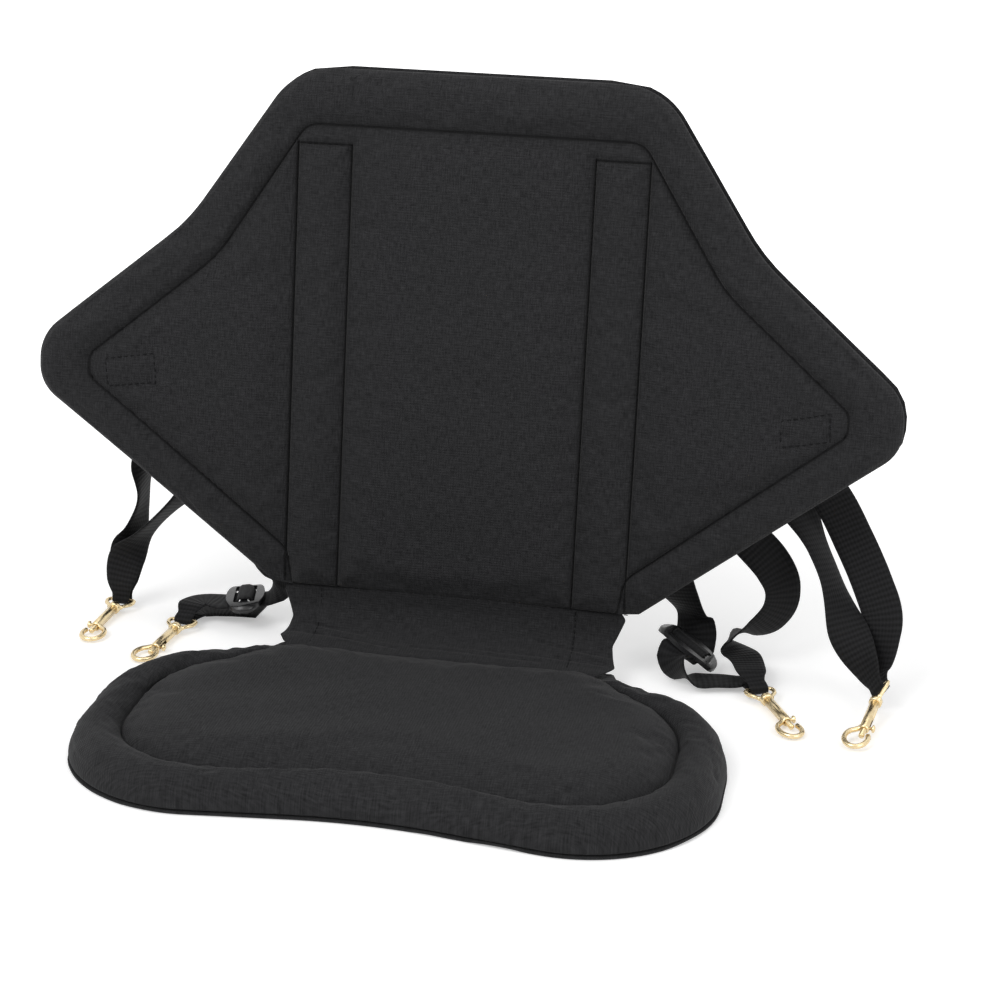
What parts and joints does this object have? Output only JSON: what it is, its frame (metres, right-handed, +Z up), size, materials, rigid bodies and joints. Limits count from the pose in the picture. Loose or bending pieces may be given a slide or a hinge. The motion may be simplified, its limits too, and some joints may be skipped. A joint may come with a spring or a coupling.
{
  "type": "kayak seat",
  "caption": "Padded cloth kayak seat with a folding winged backrest on a cloth hinge band, and webbing straps that end in swivel bolt snaps.",
  "frame": {"origin": "middle of the seat's underside, on the ground", "axes": "+X to the right seen from the front, +Y to the back, +Z up"},
  "size_m": [0.5403, 0.3018, 0.3588],
  "materials": {
    "shell_cloth": "matt woven",
    "webbing": "ribbed webbing",
    "slider_plastic": "gloss",
    "brass": "polished",
    "spring_steel": "bright wire"
  },
  "bodies": {
    "seat": {"seat_pad": "shell_cloth", "seat_bottom_cover": "shell_cloth", "hinge_band": "shell_cloth", "snap_eye_upper_left": "brass", "snap_eye_upper_right": "brass", "snap_eye_lower_left": "brass", "snap_eye_lower_right": "brass", "slider_lower_left": "slider_plastic", "slider_lower_right": "slider_plastic"},
    "backrest": {"backrest_pad": "shell_cloth", "backrest_rear_cover": "shell_cloth", "rear_band_left": "webbing", "rear_band_right": "webbing", "strap_upper_left": "webbing", "strap_upper_right": "webbing", "strap_lower_left": "webbing", "strap_lower_right": "webbing", "slider_upper_left": "slider_plastic", "slider_upper_right": "slider_plastic"},
    "hook_upper_left": {"snap_hook_upper_left": "brass", "snap_spring_upper_left": "spring_steel"},
    "bolt_upper_left": {"snap_bolt_upper_left": "brass"},
    "hook_upper_right": {"snap_hook_upper_right": "brass", "snap_spring_upper_right": "spring_steel"},
    "bolt_upper_right": {"snap_bolt_upper_right": "brass"},
    "hook_lower_left": {"snap_hook_lower_left": "brass", "snap_spring_lower_left": "spring_steel"},
    "bolt_lower_left": {"snap_bolt_lower_left": "brass"},
    "hook_lower_right": {"snap_hook_lower_right": "brass", "snap_spring_lower_right": "spring_steel"},
    "bolt_lower_right": {"snap_bolt_lower_right": "brass"}
  },
  "joints": [
    {"name": "backrest_fold", "type": "hinge", "parent": "seat", "child": "backrest", "pos_m": [0, 0.128, 0.03], "axis": [1, 0, 0], "range_deg": [-60, 74], "deforming": ["hinge_band", "strap_upper_left", "strap_upper_right", "strap_lower_left", "strap_lower_right"]},
    {"name": "swivel_upper_left", "type": "hinge", "parent": "seat", "child": "hook_upper_left", "pos_m": [-0.2286, 0.1496, 0.0045], "axis": [-0.054, -0.9975, -0.0454], "continuous": true},
    {"name": "bolt_slide_upper_left", "type": "slide", "parent": "hook_upper_left", "child": "bolt_upper_left", "axis": [0.054, 0.9975, 0.0454], "range_m": [0, 0.0078], "stiffness_N_per_m": 150, "springref_m": -0.004, "deforming": ["snap_spring_upper_left"]},
    {"name": "swivel_upper_right", "type": "hinge", "parent": "seat", "child": "hook_upper_right", "pos_m": [0.2627, 0.1043, 0.0116], "axis": [-0.171, -0.9698, -0.1736], "continuous": true},
    {"name": "bolt_slide_upper_right", "type": "slide", "parent": "hook_upper_right", "child": "bolt_upper_right", "axis": [0.171, 0.9698, 0.1736], "range_m": [0, 0.0078], "stiffness_N_per_m": 150, "springref_m": -0.004, "deforming": ["snap_spring_upper_right"]},
    {"name": "swivel_lower_left", "type": "hinge", "parent": "seat", "child": "hook_lower_left", "pos_m": [-0.1793, 0.126, 0.0045], "axis": [-0.1096, -0.9929, -0.0454], "continuous": true},
    {"name": "bolt_slide_lower_left", "type": "slide", "parent": "hook_lower_left", "child": "bolt_lower_left", "axis": [0.1096, 0.9929, 0.0454], "range_m": [0, 0.0078], "stiffness_N_per_m": 150, "springref_m": -0.004, "deforming": ["snap_spring_lower_left"]},
    {"name": "swivel_lower_right", "type": "hinge", "parent": "seat", "child": "hook_lower_right", "pos_m": [0.1981, 0.1085, 0.0045], "axis": [0.469, -0.882, -0.0454], "continuous": true},
    {"name": "bolt_slide_lower_right", "type": "slide", "parent": "hook_lower_right", "child": "bolt_lower_right", "axis": [-0.469, 0.882, 0.0454], "range_m": [0, 0.0078], "stiffness_N_per_m": 150, "springref_m": -0.004, "deforming": ["snap_spring_lower_right"]}
  ]
}
